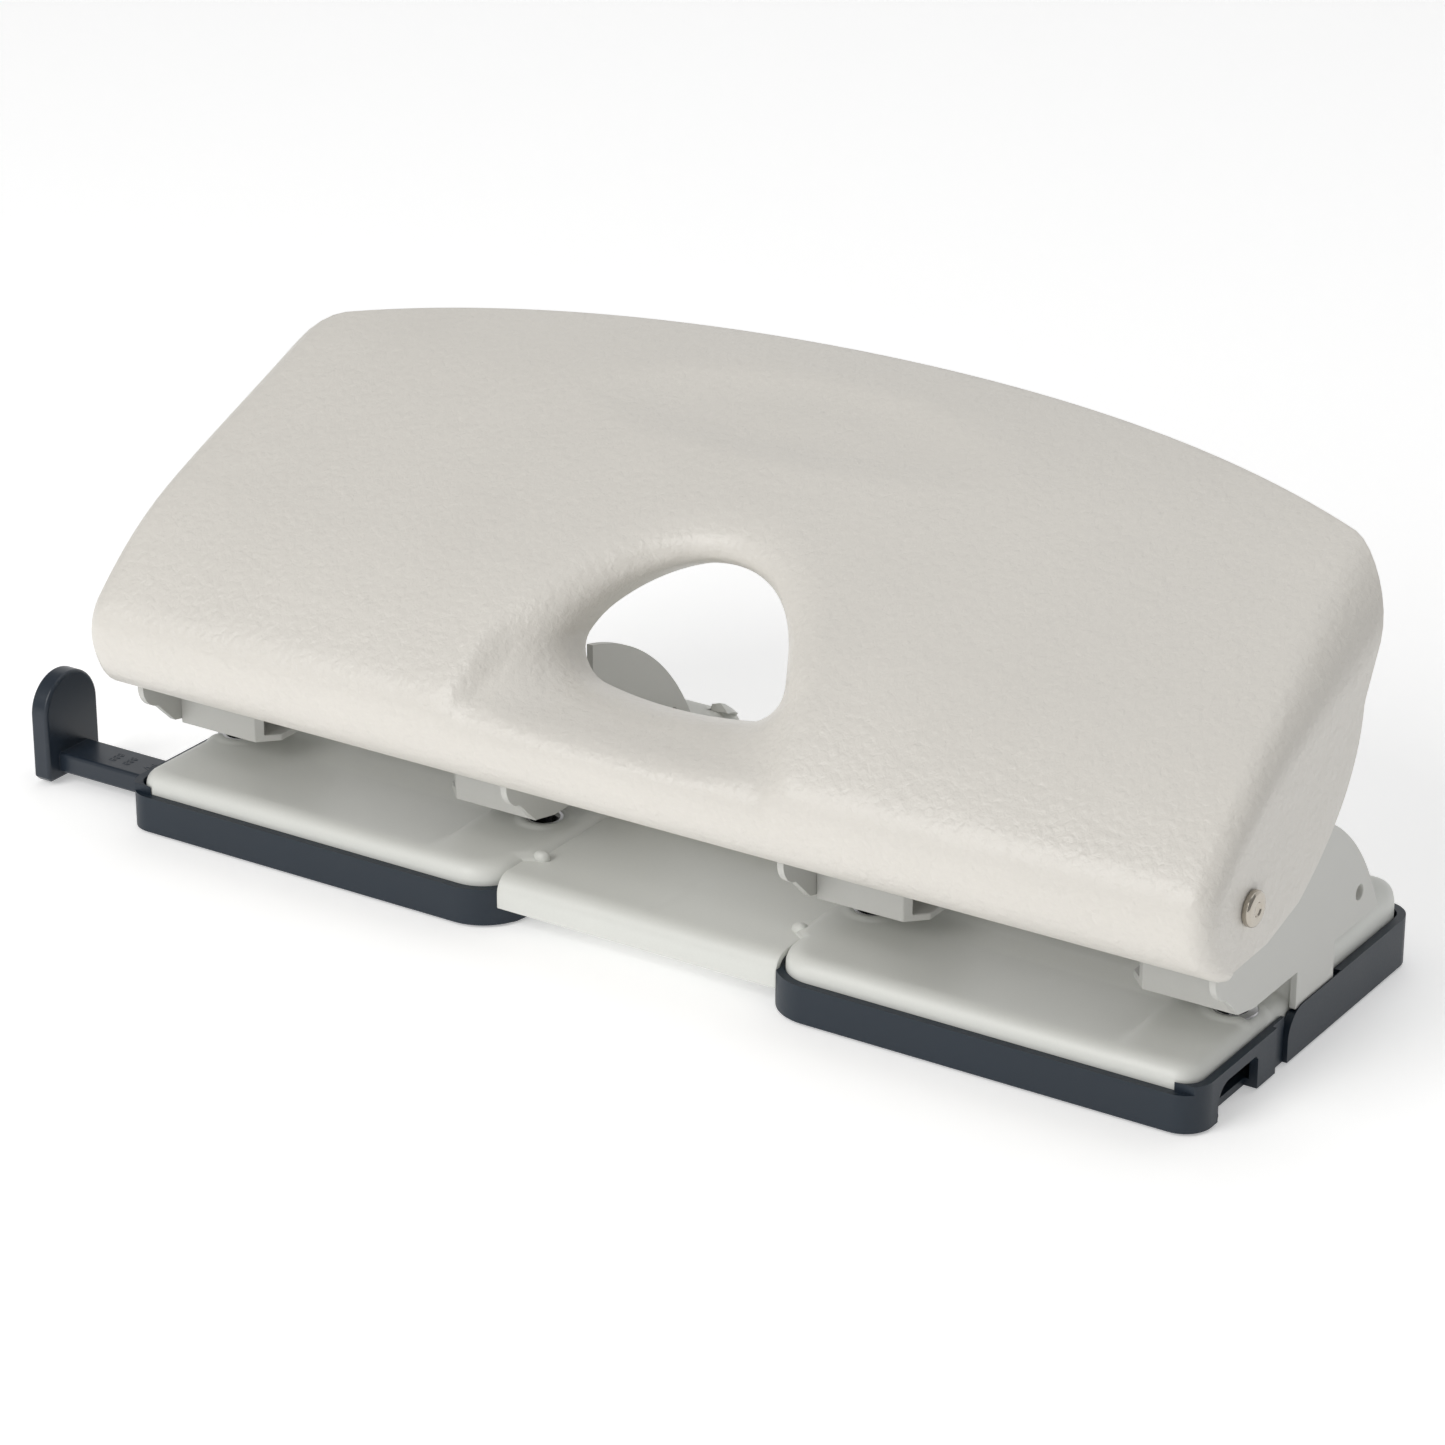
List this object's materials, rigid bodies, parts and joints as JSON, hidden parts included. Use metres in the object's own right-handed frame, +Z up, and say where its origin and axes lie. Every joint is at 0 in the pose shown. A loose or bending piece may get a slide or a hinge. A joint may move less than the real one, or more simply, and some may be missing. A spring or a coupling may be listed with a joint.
{
  "type": "hole punch",
  "caption": "Long lever-operated desk punch for filing holes: pressed steel cover with a hand hole, twin base plates over plastic chip trays, sliding paper guide.",
  "frame": {"origin": "middle of the overall box at the table", "axes": "+X along the punch, away from the paper guide's stop; +Y to the rear; +Z up"},
  "size_m": [0.294, 0.1028, 0.1025],
  "materials": {
    "cover_paint": "warm light grey wrinkle paint, semi-gloss",
    "base_paint": "smooth light cool grey paint, satin",
    "frame_paint": "smooth light grey paint, satin",
    "channel_steel": "zinc plated sheet",
    "punch_steel": "hardened and ground",
    "spring_steel": "bright spring steel",
    "pin_nickel": "nickel plated",
    "tray_plastic": "dark slate moulding, fine texture",
    "guide_plastic": "near-black navy moulding",
    "foot_rubber": "matte rubber"
  },
  "bodies": {
    "frame": {"base_plate_left": "base_paint", "base_plate_right": "base_paint", "bridge_plate": "base_paint", "ear_inner_left": "frame_paint", "ear_inner_right": "frame_paint", "ear_outer_left": "frame_paint", "ear_outer_right": "frame_paint", "punch_guide_1": "frame_paint", "punch_guide_2": "frame_paint", "punch_guide_3": "frame_paint", "punch_guide_4": "frame_paint", "die_bush_1": "punch_steel", "die_bush_2": "punch_steel", "die_bush_3": "punch_steel", "die_bush_4": "punch_steel", "punch_spring_1": "spring_steel", "punch_spring_2": "spring_steel", "punch_spring_3": "spring_steel", "punch_spring_4": "spring_steel", "pivot_clip_left": "spring_steel", "pivot_clip_right": "spring_steel", "door_rod_left": "spring_steel", "door_rod_right": "spring_steel", "pivot_washer_left": "spring_steel", "pivot_washer_right": "spring_steel", "pivot_pin_left": "pin_nickel", "pivot_pin_right": "pin_nickel", "frame_rivets": "pin_nickel", "chip_tray_left": "tray_plastic", "chip_tray_right": "tray_plastic", "feet_left": "foot_rubber", "feet_right": "foot_rubber"},
    "lever": {"lever_cover": "cover_paint", "press_channel_left": "channel_steel", "press_channel_right": "channel_steel"},
    "punch_unit_1": {"punch_1": "punch_steel", "punch_clip_1": "spring_steel"},
    "punch_unit_2": {"punch_2": "punch_steel", "punch_clip_2": "spring_steel"},
    "punch_unit_3": {"punch_3": "punch_steel", "punch_clip_3": "spring_steel"},
    "punch_unit_4": {"punch_4": "punch_steel", "punch_clip_4": "spring_steel"},
    "paper_guide": {"paper_guide": "guide_plastic"},
    "door_left": {"chip_door_left": "tray_plastic"},
    "door_right": {"chip_door_right": "tray_plastic"}
  },
  "joints": [
    {"name": "lever_hinge", "type": "hinge", "parent": "frame", "child": "lever", "pos_m": [0.01305, -0.03461, 0.0452], "axis": [-1, 0, 0], "range_deg": [0, 26], "stiffness_Nm_per_rad": 1.2, "springref_deg": -22.92},
    {"name": "punch_slide_1", "type": "slide", "parent": "frame", "child": "punch_unit_1", "axis": [0, 0, -1], "range_m": [0, 0.00864], "deforming": ["punch_spring_1"]},
    {"name": "punch_slide_2", "type": "slide", "parent": "frame", "child": "punch_unit_2", "axis": [0, 0, -1], "range_m": [0, 0.00864], "deforming": ["punch_spring_2"]},
    {"name": "punch_slide_3", "type": "slide", "parent": "frame", "child": "punch_unit_3", "axis": [0, 0, -1], "range_m": [0, 0.00864], "deforming": ["punch_spring_3"]},
    {"name": "punch_slide_4", "type": "slide", "parent": "frame", "child": "punch_unit_4", "axis": [0, 0, -1], "range_m": [0, 0.00864], "deforming": ["punch_spring_4"]},
    {"name": "guide_slide", "type": "slide", "parent": "frame", "child": "paper_guide", "axis": [1, 0, 0], "range_m": [-0.04, 0.024]},
    {"name": "door_hinge_left", "type": "hinge", "parent": "frame", "child": "door_left", "pos_m": [0.01305, 0.03719, 0.0029], "axis": [1, 0, 0], "range_deg": [0, 70]},
    {"name": "door_hinge_right", "type": "hinge", "parent": "frame", "child": "door_right", "pos_m": [0.01305, 0.03719, 0.0029], "axis": [1, 0, 0], "range_deg": [0, 70]}
  ],
  "couplings": [
    {"joint": "punch_slide_1", "follows": "lever_hinge", "m_per_rad": 0.019046},
    {"joint": "punch_slide_2", "follows": "lever_hinge", "m_per_rad": 0.019046},
    {"joint": "punch_slide_3", "follows": "lever_hinge", "m_per_rad": 0.019046},
    {"joint": "punch_slide_4", "follows": "lever_hinge", "m_per_rad": 0.019046}
  ]
}
